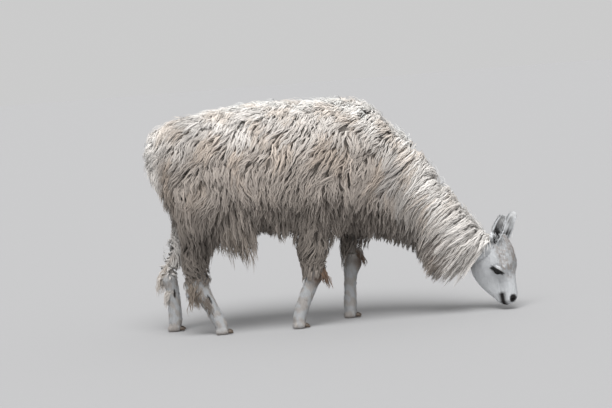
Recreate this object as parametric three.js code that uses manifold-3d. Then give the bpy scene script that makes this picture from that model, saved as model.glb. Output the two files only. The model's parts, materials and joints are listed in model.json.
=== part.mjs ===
// A woolly llama, life size, grazing with its right foreleg drawn back. Millimetres, +Z up, +X towards the
// head, +Y to the animal's left. Every solid is the outer surface of the coat: fleece on the body, neck and
// upper legs, short hair on the face and below the knees and hocks. The feet stand flat on z = 0.
import * as THREE from "three";
import { mergeVertices } from "three/addons/utils/BufferGeometryUtils.js";
import Module from "manifold-3d";

const wasm = await Module();
wasm.setup();

// Driving dimensions.
const GAP = 0.4; // between neighbouring pieces
const DETAIL = 0.05; // flatter facets than this are merged
const BACK_HEIGHT = 1136; // ground to the top of the fleece on the back
const BELLY_HEIGHT = 470; // ground to the hem of the belly fleece
const BARREL_HALF_WIDTH = 258;
const TRACK = 112; // each foot's distance from the middle plane
const HEAD_LENGTH = 352; // back of the skull to the lips
const HEAD_PITCH = 77; // the head's axis below the horizontal, degrees
const HEAD_TURN = 33; // towards the animal's right, degrees
const POLL = new THREE.Vector3(839, 18, 366); // back of the skull
const EAR_LENGTH = 164;
const EYE_RADIUS = 25;
const RIGHT = -1;
const LEFT = 1;

const radians = THREE.MathUtils.degToRad;

// ---- Shaping ----

// Rows of numbers followed smoothly: column by column, a Catmull-Rom spline at t = 0..1 along the rows.
function along(rows, t) {
  const at = t * (rows.length - 1);
  const i = Math.min(Math.floor(at), rows.length - 2);
  const f = at - i;
  const row = (k) => rows[THREE.MathUtils.clamp(k, 0, rows.length - 1)];
  return row(i).map((b, k) => {
    const [a, c, d] = [row(i - 1)[k], row(i + 1)[k], row(i + 2)[k]];
    const pull = (c - a) * f + (2 * a - 5 * b + 4 * c - d) * f * f + (3 * b - a - 3 * c + d) * f ** 3;
    return b + pull / 2;
  });
}

// A closed surface through rings of equal count, with its two ends filled.
function skinOver(rings) {
  const sides = rings[0].length;
  const points = rings.flat();
  const faces = [];
  for (let i = 0; i + 1 < rings.length; i++)
    for (let j = 0; j < sides; j++) {
      const [a, b] = [i * sides + j, i * sides + ((j + 1) % sides)];
      faces.push([a, b, b + sides], [a, b + sides, a + sides]);
    }
  [0, rings.length - 1].forEach((end) => {
    const ring = rings[end];
    const middle = ring.reduce((sum, p) => sum.add(p), new THREE.Vector3()).divideScalar(sides);
    points.push(middle);
    for (let j = 0; j < sides; j++) {
      const rim = [end * sides + j, end * sides + ((j + 1) % sides)];
      faces.push(end ? [rim[0], rim[1], points.length - 1] : [rim[1], rim[0], points.length - 1]);
    }
  });
  const geometry = new THREE.BufferGeometry().setFromPoints(points);
  return geometry.setIndex(faces.flat());
}

// A limb, neck or trunk. Each row is [x, y, z, pitch, top, under, side]: the middle of a cross-section, how
// far its axis dips below +X, and the section's reach upwards, downwards and sideways. On a limb, whose
// pitch is near 90, "top" is its front. grow fattens it, squareness 2 is an ellipse and more is boxier.
function limb(rows, { rings = 12, sides = 16, grow = 0, squareness = 2, shape = () => [0, 0] } = {}) {
  const power = 2 / squareness;
  const curve = (v) => Math.sign(v) * Math.abs(v) ** power;
  return skinOver(
    Array.from({ length: rings }, (_, i) => {
      const t = i / (rings - 1);
      const [x, y, z, pitch, top, under, side] = along(rows, t);
      const up = new THREE.Vector3(Math.sin(radians(pitch)), 0, Math.cos(radians(pitch)));
      const ahead = new THREE.Vector3(up.z, 0, -up.x).multiplyScalar(i ? (t === 1 ? grow : 0) : -grow);
      return Array.from({ length: sides }, (_, j) => {
        const a = (2 * Math.PI * j) / sides;
        const [wide, high] = shape(t, a);
        const across = (side + grow) * curve(Math.cos(a)) + wide;
        const rise = ((Math.sin(a) > 0 ? top : under) + grow) * curve(Math.sin(a)) + high;
        return new THREE.Vector3(x, y + across, z).addScaledVector(up, rise).add(ahead);
      });
    }),
  );
}

// A three.js geometry as a manifold-3d solid, and back again.
function solid(geometry, matrix = new THREE.Matrix4()) {
  const bare = new THREE.BufferGeometry().setAttribute("position", geometry.getAttribute("position").clone());
  bare.setIndex(geometry.index).applyMatrix4(matrix);
  const merged = mergeVertices(bare, 1e-3);
  const mesh = { numProp: 3, vertProperties: merged.attributes.position.array };
  const made = new wasm.Manifold(new wasm.Mesh({ ...mesh, triVerts: new Uint32Array(merged.index.array) }));
  if (made.volume() > 0) return made;
  throw new Error("a surface faces inwards");
}

function geometryOf(made) {
  const { vertProperties, triVerts } = made.getMesh();
  const geometry = new THREE.BufferGeometry();
  geometry.setAttribute("position", new THREE.BufferAttribute(vertProperties, 3)).setIndex([...triVerts]);
  const flat = geometry.toNonIndexed();
  flat.computeVertexNormals();
  return flat;
}

// The biggest piece of a solid, without the crumbs that a cut can leave.
function biggest(made) {
  return made.decompose().reduce((a, b) => (b.volume() > a.volume() ? b : a));
}

const joined = (solids) => solids.reduce((a, b) => a.add(b));

// A hanging lock of fleece, from its root to its pointed tip, sagging a little on the way.
function lock(root, tip, radius, grow = 0) {
  const fall = tip.map((v, k) => v - root[k]);
  const pitch = THREE.MathUtils.radToDeg(Math.atan2(-fall[2], fall[0]));
  const stages = [0, 0.45, 0.8, 1];
  const widths = [1, 0.85, 0.5, 0.08];
  const rows = stages.map((s, i) => {
    const [x, y, z] = root.map((v, k) => v + fall[k] * s);
    const r = radius * widths[i];
    return [x, y, z, pitch, r, r, r * 0.7];
  });
  return solid(limb(rows, { rings: 4, sides: 5, grow }));
}

// ---- Trunk ----

// From the rump to the chest: [x, top of the back, hem, half width]. A section's middle is a little below
// halfway, where the fleece is widest.
const BARREL = [
  [-800, 905, 790, 30],
  [-785, 1000, 660, 105],
  [-720, 1082, 570, 178],
  [-600, 1092, 505, 226],
  [-420, BACK_HEIGHT - 12, 482, 252],
  [-220, BACK_HEIGHT, BELLY_HEIGHT, BARREL_HALF_WIDTH],
  [-20, BACK_HEIGHT - 12, BELLY_HEIGHT - 8, 252],
  [150, BACK_HEIGHT - 14, 442, 228],
  [270, BACK_HEIGHT - 40, 425, 200],
  [360, 1004, 452, 165],
  [420, 884, 560, 90],
];
const WIDEST = 0.46; // share of a section's height

function barrel(grow = 0) {
  const rows = BARREL.map(([x, top, hem, half]) => {
    const middle = hem + (top - hem) * WIDEST;
    return [x, 0, middle, 0, top - middle, middle - hem, half];
  });
  return solid(limb(rows, { rings: 14, sides: 16, grow, squareness: 2.3 }));
}

// Locks that hang from the hem on both sides: their tips rise and fall, so that the hem is ragged.
function hemLocks(grow = 0) {
  const count = 5;
  const [first, last] = [-350, 240];
  return [RIGHT, LEFT].flatMap((side) =>
    Array.from({ length: count }, (_, i) => {
      const x = first + ((last - first) * i) / (count - 1);
      const drop = 48 + 16 * Math.sin(i * 2.4 + side) + 8 * Math.sin(i * 5.1);
      const out = 150 - 0.00045 * (x + 60) ** 2;
      const z = BELLY_HEIGHT + 38;
      return lock([x, side * out, z], [x - 14, side * (out - 4), z - 30 - drop], 34, grow);
    }),
  );
}

// ---- Neck ----

const NECK = [
  [150, 0, 790, 8, 262, 330, 190],
  [330, 0, 700, 30, 266, 322, 190],
  [440, 0, 600, 40, 206, 262, 172],
  [540, 2, 500, 42, 176, 204, 152],
  [640, 6, 400, 43, 144, 190, 136],
  [728, 10, 325, 48, 126, 172, 120],
  [782, 12, 292, 58, 104, 112, 98],
  [806, 12, 276, 62, 50, 50, 50],
];

function neckSurface(grow = 0) {
  return solid(limb(NECK, { rings: 12, sides: 16, grow, squareness: 2.1 }));
}

// The beard of long fleece under the throat.
function throatLocks(grow = 0) {
  const places = [
    [570, 256, 202],
    [628, 230, 170],
    [686, 232, 184],
  ];
  return places.flatMap(([x, root, tip]) =>
    [RIGHT, LEFT].map((side) => lock([x, side * 34 + 8, root + 20], [x + 22, side * 26 + 8, tip], 32, grow)),
  );
}

// ---- Head ----
// Its own frame: +X from the back of the skull to the lips, +Z to the forehead, +Y to its left.

const headFrame = new THREE.Matrix4()
  .makeRotationZ(radians(-HEAD_TURN))
  .multiply(new THREE.Matrix4().makeRotationY(radians(HEAD_PITCH)))
  .setPosition(POLL);

// [share of the head's length, top, under, half width]
const HEAD = [
  [-0.03, 34, 40, 36],
  [0.05, 72, 88, 60],
  [0.18, 90, 128, 67],
  [0.3, 94, 150, 69],
  [0.42, 90, 156, 67],
  [0.52, 78, 150, 60],
  [0.63, 70, 134, 50],
  [0.75, 65, 106, 42],
  [0.86, 60, 72, 38],
  [0.95, 48, 52, 35],
  [1.0, 18, 20, 18],
];
const EYE = new THREE.Vector3(168, 46, 18); // middle of the left eyeball
const NOSTRIL = new THREE.Vector3(326, 21, 36);

// A rounded swelling in (t, angle), 1 at its middle.
const swelling = (t, a, t0, a0, dt, da) => Math.exp(-(((t - t0) / dt) ** 2) - ((a - a0) / da) ** 2);

// The brow over each eye, the hollow below it towards the nose, the cheek, and the full upper lip.
function headRelief(t, a) {
  const around = Math.atan2(Math.sin(a), Math.abs(Math.cos(a)));
  const brow = 21 * swelling(t, around, 0.46, 0.72, 0.09, 0.42);
  const cheek = 6 * swelling(t, around, 0.33, -0.35, 0.13, 0.55);
  const hollow = -6 * swelling(t, around, 0.62, 0.15, 0.09, 0.5);
  const lip = 4 * swelling(t, around, 0.9, 0.1, 0.07, 0.6);
  const out = brow + cheek + hollow + lip;
  return [Math.sign(Math.cos(a)) * out * Math.cos(around), out * Math.sin(around) * 0.6];
}

function headSurface(grow = 0) {
  const rows = HEAD.map(([share, top, under, half]) => [share * HEAD_LENGTH, 0, 0, 0, top, under, half]);
  const made = limb(rows, { rings: 17, sides: 18, grow, squareness: 2.15, shape: headRelief });
  return solid(made, headFrame);
}

function eyeBall(side, grow = 0) {
  const place = new THREE.Matrix4().makeTranslation(EYE.x, side * EYE.y, EYE.z);
  return solid(new THREE.SphereGeometry(EYE_RADIUS + grow, 12, 8), headFrame.clone().multiply(place));
}

// Slanting nostrils, cut into the muzzle.
function nostril(side) {
  const place = new THREE.Matrix4()
    .makeTranslation(NOSTRIL.x, side * NOSTRIL.y, NOSTRIL.z)
    .multiply(new THREE.Matrix4().makeRotationY(radians(-38)))
    .scale(new THREE.Vector3(17, 6, 7));
  return solid(new THREE.SphereGeometry(1, 8, 6), headFrame.clone().multiply(place));
}

// ---- Ears ----
// Each is a long leaf rolled into a trough, its tip bent inwards, its opening out and forwards.

const EAR_BASE = new THREE.Vector3(42, 63, 30);
const EAR_BACK = 47; // lean behind the head's own upright, degrees
const EAR_SPLAY = 19;
const EAR_HALF_WIDTH = 30;
const EAR_WALL = 7;

function ear(side) {
  const stages = 8;
  const across = 5;
  const rings = Array.from({ length: stages }, (_, i) => {
    const t = i / (stages - 1);
    const reach = EAR_LENGTH * t;
    const half = EAR_HALF_WIDTH * Math.sqrt(Math.sin(Math.PI * (0.16 + 0.81 * t ** 1.25))) + 1;
    const curl = THREE.MathUtils.lerp(1.45, 0.7, t); // half angle of the roll
    const wall = THREE.MathUtils.lerp(EAR_WALL, 3, t);
    const inwards = -24 * t ** 2.4;
    const row = (radius, k) => {
      const a = curl * ((2 * k) / (across - 1) - 1);
      const flatten = half / Math.sin(Math.min(curl, Math.PI / 2));
      const out = radius * flatten;
      return new THREE.Vector3(out * Math.sin(a), inwards - out * Math.cos(a), reach);
    };
    const thin = 1 - wall / Math.max(half, wall + 2);
    const outer = Array.from({ length: across }, (_, k) => row(1, k));
    const inner = Array.from({ length: across }, (_, k) => row(thin, across - 1 - k));
    return [...outer, ...inner];
  });
  const turned = new THREE.Matrix4()
    .makeTranslation(EAR_BASE.x, side * EAR_BASE.y, EAR_BASE.z)
    .multiply(new THREE.Matrix4().makeRotationX(radians(-side * EAR_SPLAY)))
    .multiply(new THREE.Matrix4().makeRotationY(radians(-EAR_BACK)))
    .multiply(new THREE.Matrix4().makeRotationZ(radians(-side * 24)));
  const mirror = (ring) => ring.map((p) => new THREE.Vector3(p.x, -p.y, p.z)).reverse();
  const leaf = skinOver(side === LEFT ? rings : rings.map(mirror));
  return solid(leaf, headFrame.clone().multiply(turned));
}

// ---- Tail ----

// It leaves the rump, turns over and hangs: [x, z, pitch, away from the thighs, towards them, half width].
const TAIL = [
  [-640, 1016, 170, 50, 64, 52],
  [-716, 1020, 150, 62, 66, 72],
  [-782, 972, 122, 64, 68, 86],
  [-812, 892, 100, 54, 52, 88],
  [-810, 815, 86, 44, 42, 78],
  [-794, 740, 80, 32, 32, 60],
  [-782, 672, 80, 22, 20, 42],
  [-772, 622, 80, 5, 6, 12],
];

function tailSurface(grow = 0) {
  const rows = TAIL.map(([x, z, pitch, away, near, half]) => [x, 0, z, pitch, near, away, half]);
  return solid(limb(rows, { rings: 9, sides: 11, grow }));
}

// ---- Legs ----
// Each runs from inside the trunk to the fetlock: [x, distance from the middle plane, z, pitch, front, back,
// side]. knee and fetlock are the heights where it is parted into thigh or forearm, cannon and foot.

const LEGS = {
  hind_right: {
    side: RIGHT,
    foot: [-532, 4],
    knee: 262,
    upper: [
      [-600, 96, 880, 90, 130, 120, 90],
      [-590, 130, 760, 88, 172, 150, 118],
      [-582, 146, 640, 88, 172, 162, 112],
      [-592, 146, 540, 96, 128, 132, 96],
      [-622, 136, 440, 100, 84, 98, 74],
      [-638, 126, 355, 96, 66, 68, 55],
      [-640, 118, 290, 84, 68, 62, 44],
      [-626, 114, 235, 66, 50, 50, 37],
    ],
    cannon: [
      [-644, 118, 300, 80, 60, 60, 42],
      [-626, 115, 232, 66, 48, 48, 35],
      [-590, 113, 158, 63, 37, 38, 30],
      [-559, 112, 92, 66, 33, 36, 31],
      [-541, 112, 56, 72, 34, 36, 35],
      [-535, 112, 30, 80, 30, 32, 36],
    ],
    tufts: [
      [[-676, 118, 290], [-704, 118, 108], 30],
      [[-664, 106, 240], [-668, 108, 120], 24],
    ],
  },
  hind_left: {
    side: LEFT,
    foot: [-784, -3],
    knee: 285,
    upper: [
      [-620, 96, 880, 90, 130, 120, 90],
      [-620, 130, 760, 92, 160, 140, 118],
      [-640, 142, 640, 100, 150, 130, 108],
      [-672, 142, 540, 108, 116, 104, 92],
      [-720, 134, 445, 114, 82, 76, 72],
      [-768, 124, 370, 112, 58, 58, 54],
      [-795, 116, 310, 96, 48, 50, 43],
      [-792, 112, 258, 84, 38, 44, 36],
    ],
    cannon: [
      [-798, 116, 318, 92, 44, 48, 41],
      [-790, 113, 258, 84, 37, 42, 35],
      [-777, 112, 190, 86, 31, 37, 29],
      [-775, 112, 115, 88, 31, 40, 29],
      [-776, 112, 62, 88, 33, 42, 34],
      [-779, 112, 30, 88, 30, 36, 36],
    ],
    tufts: [
      [[-815, 116, 330], [-866, 116, 168], 32],
      [[-795, 110, 200], [-842, 112, 94], 20],
    ],
  },
  fore_right: {
    side: RIGHT,
    foot: [-150, 6],
    knee: 232,
    upper: [
      [40, 90, 800, 90, 140, 130, 80],
      [0, 118, 680, 98, 140, 130, 90],
      [-30, 126, 580, 100, 118, 118, 84],
      [-48, 124, 490, 98, 102, 108, 76],
      [-56, 118, 410, 94, 94, 92, 66],
      [-58, 114, 340, 92, 74, 66, 54],
      [-60, 112, 280, 94, 52, 50, 43],
      [-68, 112, 225, 104, 38, 40, 37],
    ],
    cannon: [
      [-58, 112, 300, 90, 52, 50, 42],
      [-68, 112, 235, 102, 38, 38, 37],
      [-92, 112, 178, 112, 31, 44, 30],
      [-124, 112, 110, 112, 31, 40, 29],
      [-146, 112, 60, 104, 34, 36, 34],
      [-150, 112, 30, 92, 30, 32, 36],
    ],
    tufts: [[[-34, 118, 330], [10, 118, 204], 32]],
  },
  fore_left: {
    side: LEFT,
    foot: [114, -5],
    knee: 240,
    upper: [
      [120, 90, 800, 90, 140, 130, 80],
      [128, 118, 680, 90, 120, 120, 90],
      [140, 124, 580, 92, 100, 105, 82],
      [145, 122, 490, 92, 84, 92, 72],
      [146, 118, 410, 92, 66, 72, 60],
      [144, 114, 345, 92, 60, 58, 52],
      [140, 112, 285, 96, 54, 50, 43],
      [126, 112, 228, 98, 36, 36, 36],
    ],
    cannon: [
      [142, 112, 300, 94, 50, 46, 42],
      [126, 112, 232, 98, 36, 36, 36],
      [118, 112, 175, 92, 36, 30, 29],
      [112, 112, 110, 92, 37, 31, 29],
      [111, 112, 62, 90, 38, 34, 34],
      [112, 112, 30, 86, 31, 31, 36],
    ],
    tufts: [[[168, 118, 350], [212, 118, 262], 30]],
  },
};
const FETLOCK_HEIGHT = 58;
const TOE = { length: 80, half: 21, height: 36, spread: 18.5 };
const NAIL = { length: 23, half: 9, height: 12 };

function leg({ side, upper, cannon, tufts }) {
  const placed = (rows) => rows.map(([x, out, ...rest]) => [x, side * out, ...rest]);
  const thigh = solid(limb(placed(upper), { rings: 10, sides: 12 }));
  const shin = solid(limb(placed(cannon), { rings: 7, sides: 9 }));
  const hair = tufts.map(([root, tip, r]) => {
    const [from, to] = [root, tip].map(([x, out, z]) => [x, side * out, z]);
    return lock(from, to, r);
  });
  return joined([thigh, shin, ...hair]);
}

// The long locks of the flank fold, in front of each stifle, where the fleece hangs lowest.
const FLANK_LOCKS = [
  { x: -500, tip: 384, lean: 16 },
  { x: -458, tip: 336, lean: 28 },
  { x: -415, tip: 298, lean: 40 },
  { x: -374, tip: 364, lean: 20 },
];

function flankLocks(side) {
  return FLANK_LOCKS.map(({ x, tip, lean }) => lock([x, side * 178, 560], [x + lean, side * 176, tip], 36));
}

// Two toes side by side on a soft sole, each with a pointed nail.
function toe({ side, foot }, which, grow = 0) {
  const [x, turn] = foot;
  const rows = [
    [-TOE.length * 0.46, 0, 12, 0, 14, 20, TOE.half * 0.7],
    [-TOE.length * 0.25, 0, 18, 4, TOE.height - 14, 24, TOE.half],
    [TOE.length * 0.05, 0, 17, 10, TOE.height - 14, 24, TOE.half],
    [TOE.length * 0.34, 0, 13, 18, TOE.height - 20, 22, TOE.half * 0.88],
    [TOE.length * 0.5, 0, 11, 22, 10, 16, TOE.half * 0.55],
  ];
  const place = new THREE.Matrix4()
    .makeTranslation(x, side * TRACK, 0)
    .multiply(new THREE.Matrix4().makeRotationZ(radians(turn + which * 4)))
    .multiply(new THREE.Matrix4().makeTranslation(0, which * TOE.spread, 0));
  const made = solid(limb(rows, { rings: 5, sides: 8, grow, squareness: 2.4 }), place);
  return { made: made.trimByPlane([0, 0, 1], 0), place };
}

function nail(place, grow = 0) {
  const from = TOE.length * 0.34;
  const rows = [
    [from, 0, 13, 12, NAIL.height, 9, NAIL.half],
    [from + NAIL.length * 0.45, 0, 12, 22, NAIL.height - 3, 9, NAIL.half * 0.9],
    [from + NAIL.length * 0.8, 0, 8, 34, 7, 5, NAIL.half * 0.6],
    [from + NAIL.length, 0, 5, 40, 2.5, 2, 2.5],
  ];
  return solid(limb(rows, { rings: 4, sides: 6, grow }), place);
}

// ---- Parting ----
// Neighbours are parted by a gap along the surface of the piece that lies deeper.

const above = (made, z) => made.trimByPlane([0, 0, 1], z);
const below = (made, z) => made.trimByPlane([0, 0, -1], -z);

const COAT = { color: 0xc9bba6, roughness: 0.95 };
const SHORT_HAIR = { color: 0xd8d2c8, roughness: 0.85 };
const EYE_GLASS = { color: 0x14100d, roughness: 0.1 };
const HORN = { color: 0x4a4038, roughness: 0.6 };

const pieces = [];
const add = (name, look, made) => pieces.push({ name, look, made });

const trunk = joined([barrel(), ...hemLocks()]);
const trunkAndGap = joined([barrel(GAP), ...hemLocks(GAP)]);
const neck = joined([neckSurface(), ...throatLocks()]);
const neckAndGap = joined([neckSurface(GAP), ...throatLocks(GAP)]);
const eyes = [RIGHT, LEFT].map((side) => eyeBall(side));
const sockets = [RIGHT, LEFT].map((side) => eyeBall(side, GAP));
const hollows = joined([...sockets, nostril(RIGHT), nostril(LEFT)]);
const skull = headSurface();

add("trunk", COAT, trunk);
add("neck", COAT, biggest(neck.subtract(trunkAndGap)));
add("head", SHORT_HAIR, biggest(skull.subtract(joined([hollows, neckAndGap]))));
add("tail", COAT, biggest(tailSurface().subtract(trunkAndGap)));
[RIGHT, LEFT].forEach((side, i) => {
  const name = side === LEFT ? "left" : "right";
  add(`ear_${name}`, SHORT_HAIR, biggest(ear(side).subtract(joined([headSurface(GAP), neckAndGap]))));
  add(`eye_${name}`, EYE_GLASS, eyes[i]);
});
Object.entries(LEGS).forEach(([name, shape]) => {
  const hair = name.startsWith("hind") ? flankLocks(shape.side) : [];
  const whole = joined([leg(shape), ...hair]).subtract(joined([trunkAndGap, neckAndGap, tailSurface(GAP)]));
  const upperName = name.replace("hind", "thigh").replace("fore", "forearm");
  add(upperName, COAT, biggest(above(whole, shape.knee + GAP)));
  const shin = below(whole, shape.knee);
  add(`cannon_${name}`, SHORT_HAIR, biggest(above(shin, FETLOCK_HEIGHT + GAP)));
  const toes = [RIGHT, LEFT].map((which) => toe(shape, which));
  const nails = toes.map(({ place }) => nail(place, GAP));
  const foot = joined([above(below(shin, FETLOCK_HEIGHT), 14), ...toes.map(({ made }) => made)]);
  add(`foot_${name}`, SHORT_HAIR, biggest(foot.subtract(joined(nails))));
  toes.forEach(({ place }, i) => add(`nail_${name}_${i ? "b" : "a"}`, HORN, nail(place)));
});

// The frame's origin is the middle of the model's floor plan, at the ground.
const box = joined(pieces.map(({ made }) => made)).boundingBox();
const shift = [-(box.min[0] + box.max[0]) / 2, -(box.min[1] + box.max[1]) / 2, -box.min[2]];

const llama = new THREE.Group();
llama.name = "llama";
pieces.forEach(({ name, look, made }) => {
  const shape = geometryOf(made.simplify(DETAIL).translate(shift));
  const piece = new THREE.Mesh(shape, new THREE.MeshStandardMaterial(look));
  piece.name = name;
  llama.add(piece);
});

export default llama;
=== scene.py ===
import json
import math

import bmesh
import bpy
import numpy as np
from mathutils import Matrix, Vector
from mathutils.bvhtree import BVHTree

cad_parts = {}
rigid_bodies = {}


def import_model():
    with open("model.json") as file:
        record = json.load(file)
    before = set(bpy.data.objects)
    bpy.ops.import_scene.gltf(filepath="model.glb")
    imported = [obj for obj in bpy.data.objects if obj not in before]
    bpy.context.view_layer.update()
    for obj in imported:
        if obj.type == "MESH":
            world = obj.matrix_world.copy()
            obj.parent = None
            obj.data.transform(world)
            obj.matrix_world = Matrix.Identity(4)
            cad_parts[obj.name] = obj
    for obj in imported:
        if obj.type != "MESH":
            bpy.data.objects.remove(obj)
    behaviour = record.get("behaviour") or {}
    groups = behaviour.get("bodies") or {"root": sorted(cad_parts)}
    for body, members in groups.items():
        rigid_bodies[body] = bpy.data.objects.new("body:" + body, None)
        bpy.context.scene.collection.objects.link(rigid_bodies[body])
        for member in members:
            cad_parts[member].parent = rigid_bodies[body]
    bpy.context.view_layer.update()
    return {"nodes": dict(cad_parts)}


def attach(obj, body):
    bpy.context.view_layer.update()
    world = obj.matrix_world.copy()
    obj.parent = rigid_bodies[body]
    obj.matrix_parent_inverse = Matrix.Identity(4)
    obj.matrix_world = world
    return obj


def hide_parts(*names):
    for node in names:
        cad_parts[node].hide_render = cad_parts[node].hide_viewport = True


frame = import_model()


# ---- Viewpoint ----
# The camera stands level with the animal's flank, nine metres off its right side, and is tilted a few
# degrees because the ground there slopes.
VIEW_DISTANCE = 9.0
VIEW_WIDTH = 3.06  # what the frame spans at the animal
VIEW_HEIGHT = math.radians(5.0)
VIEW_ROLL = math.radians(4.5)
AIM = Vector((-0.1255, 0.0, 0.605))

forward = Vector((0.0, math.cos(VIEW_HEIGHT), -math.sin(VIEW_HEIGHT)))
level_right = Vector((1.0, 0.0, 0.0))
level_up = level_right.cross(forward)
camera_up = level_up * math.cos(VIEW_ROLL) + level_right * math.sin(VIEW_ROLL)
camera_right = forward.cross(camera_up)
viewpoint = bpy.data.cameras.new("viewpoint")
viewpoint.lens = viewpoint.sensor_width * VIEW_DISTANCE / VIEW_WIDTH
camera = bpy.data.objects.new("viewpoint", viewpoint)
turned = Matrix((camera_right, camera_up, -forward)).transposed().to_4x4()
camera.matrix_world = Matrix.Translation(AIM - forward * VIEW_DISTANCE) @ turned
bpy.context.scene.collection.objects.link(camera)
bpy.context.scene.camera = camera


# ---- Skin ----
# One hide covers the flesh from the lips to the toes. It lies under the fleece by the coat's depth: deep
# on the barrel, neck and thighs, and close to the hair's tips on the face, ears and shanks. Lids, mouth
# and lips are shaped in it.
BARREL_DEPTH = 0.046  # of the fleece, from its tips to the hide
SHANK_DEPTH = 0.007  # of the short wool on the lower legs
SHORT_DEPTH = 0.0035  # of the hair on face and feet
POLL = np.array((0.7863, 0.0184, 0.366))  # back of the skull
HEAD_PITCH = math.radians(77.0)
HEAD_TURN = math.radians(-33.0)
NECK_WAY = np.array((0.72, 0.0, -0.69))  # the way the neck points where it meets the head
EYE = np.array((0.168, 0.046, 0.018))  # in the head's own frame, as all places on the head are
EYE_RADIUS = 0.0255
NOSTRIL = np.array((0.330, 0.021, 0.042))
MOUTH_HEIGHT = -0.010
MOUTH_FALL = 0.10  # how steeply the mouth's line drops towards the nose
MOUTH_CORNER = 0.282
LIP_MIDDLE = 0.32  # where along the head the mouth's line is at its height

head_axes = np.array(Matrix.Rotation(HEAD_TURN, 3, "Z") @ Matrix.Rotation(HEAD_PITCH, 3, "Y"))


def to_head(points):
    return (points - POLL) @ head_axes


def from_head(points):
    return np.asarray(points) @ head_axes.T + POLL


def smooth_step(low, high, value):
    t = np.clip((value - low) / (high - low), 0.0, 1.0)
    return t * t * (3 - 2 * t)


def unit(vectors):
    return vectors / np.maximum(np.linalg.norm(vectors, axis=-1, keepdims=True), 1e-12)


def hump(distance, reach):
    return np.exp(-((distance / reach) ** 2))


def mouth_line(along):
    return MOUTH_HEIGHT - MOUTH_FALL * (along - LIP_MIDDLE)


def corners_and_faces(mesh):
    mesh.calc_loop_triangles()
    points = np.empty(3 * len(mesh.vertices))
    mesh.vertices.foreach_get("co", points)
    faces = np.empty(3 * len(mesh.loop_triangles), dtype=np.int64)
    mesh.loop_triangles.foreach_get("vertices", faces)
    return points.reshape(-1, 3), faces.reshape(-1, 3)


def new_mesh(name, points, faces):
    mesh = bpy.data.meshes.new(name)
    mesh.vertices.add(len(points))
    mesh.vertices.foreach_set("co", np.asarray(points, dtype=np.float32).ravel())
    sides = faces.shape[1]
    mesh.loops.add(sides * len(faces))
    mesh.loops.foreach_set("vertex_index", faces.ravel().astype(np.int32))
    mesh.polygons.add(len(faces))
    mesh.polygons.foreach_set("loop_start", np.arange(0, sides * len(faces), sides, dtype=np.int32))
    mesh.update(calc_edges=True)
    mesh.shade_smooth()
    return mesh


def new_piece(name, mesh):
    piece = bpy.data.objects.new(name, mesh)
    bpy.context.scene.collection.objects.link(piece)
    return piece


OVERLAP = 0.0006  # the solids are swollen by this much, so that they close the cuts between them


def solids(starts, cut=None):
    """The frame's nodes whose names start so, a little swollen, as one mesh. cut is a plane (point,
    normal): what lies on the normal's other side is taken off."""
    whole = bmesh.new()
    for name, node in frame["nodes"].items():
        if name.startswith(starts):
            whole.from_mesh(node.data)
    bmesh.ops.remove_doubles(whole, verts=whole.verts, dist=1e-5)
    whole.normal_update()
    for v in whole.verts:
        v.co += v.normal * OVERLAP
    if cut:
        everything = whole.verts[:] + whole.edges[:] + whole.faces[:]
        point, normal = cut
        bmesh.ops.bisect_plane(
            whole, geom=everything, plane_co=point, plane_no=normal, clear_inner=True
        )
        rim = [e for e in whole.edges if e.is_boundary]
        bmesh.ops.holes_fill(whole, edges=rim, sides=0)
    mesh = bpy.data.meshes.new("solids")
    whole.to_mesh(mesh)
    whole.free()
    return mesh


def baked(piece):
    """Points and triangles of a piece with its modifiers, which is then removed."""
    seen = piece.evaluated_get(bpy.context.evaluated_depsgraph_get())
    points, faces = corners_and_faces(seen.to_mesh())
    seen.to_mesh_clear()
    bpy.data.objects.remove(piece)
    return points, faces


def remeshed(mesh, cell):
    piece = new_piece("remesh", mesh)
    remesh = piece.modifiers.new("remesh", "REMESH")
    remesh.mode = "VOXEL"
    remesh.voxel_size = cell
    return baked(piece)


def worn_back(mesh, depth, cell):
    """The mesh with a layer this deep taken off all round, by way of a volume, which drops thin locks."""
    piece = new_piece("core", mesh)
    group = bpy.data.node_groups.new("wear back", "GeometryNodeTree")
    for way in ("INPUT", "OUTPUT"):
        group.interface.new_socket("Geometry", in_out=way, socket_type="NodeSocketGeometry")
    chain = [
        group.nodes.new(kind)
        for kind in (
            "NodeGroupInput",
            "GeometryNodeMeshToVolume",
            "GeometryNodeVolumeToMesh",
            "NodeGroupOutput",
        )
    ]
    for before, after in zip(chain, chain[1:]):
        group.links.new(before.outputs[0], after.inputs[0])
    fill, carve = chain[1:3]
    fill.resolution_mode = carve.resolution_mode = "VOXEL_SIZE"
    fill.inputs["Voxel Size"].default_value = cell
    fill.inputs["Interior Band Width"].default_value = 2 * depth
    carve.inputs["Voxel Size"].default_value = cell
    carve.inputs["Threshold"].default_value = 0.5
    piece.modifiers.new("wear", "NODES").node_group = group
    return baked(piece)


def vertex_normals(points, faces):
    across = np.cross(points[faces[:, 1]] - points[faces[:, 0]], points[faces[:, 2]] - points[faces[:, 0]])
    normals = np.zeros_like(points)
    for corner in range(3):
        for axis in range(3):
            normals[:, axis] += np.bincount(faces[:, corner], across[:, axis], len(points))
    return unit(normals)


def relaxed(points, faces, rounds, share=1.0):
    """Each point moves towards its neighbours' mean, rounds times. share may differ from point to point."""
    ends = np.concatenate([faces[:, [0, 1]], faces[:, [1, 2]], faces[:, [2, 0]]])
    ends = np.concatenate([ends, ends[:, ::-1]])
    count = np.maximum(np.bincount(ends[:, 0], minlength=len(points)), 1)[:, None]
    share = np.reshape(share, (-1, 1)) * 0.6
    for _ in range(rounds):
        sums = np.stack([np.bincount(ends[:, 0], points[ends[:, 1], k], len(points)) for k in range(3)], 1)
        points = points + share * (sums / count - points)
    return points


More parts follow.
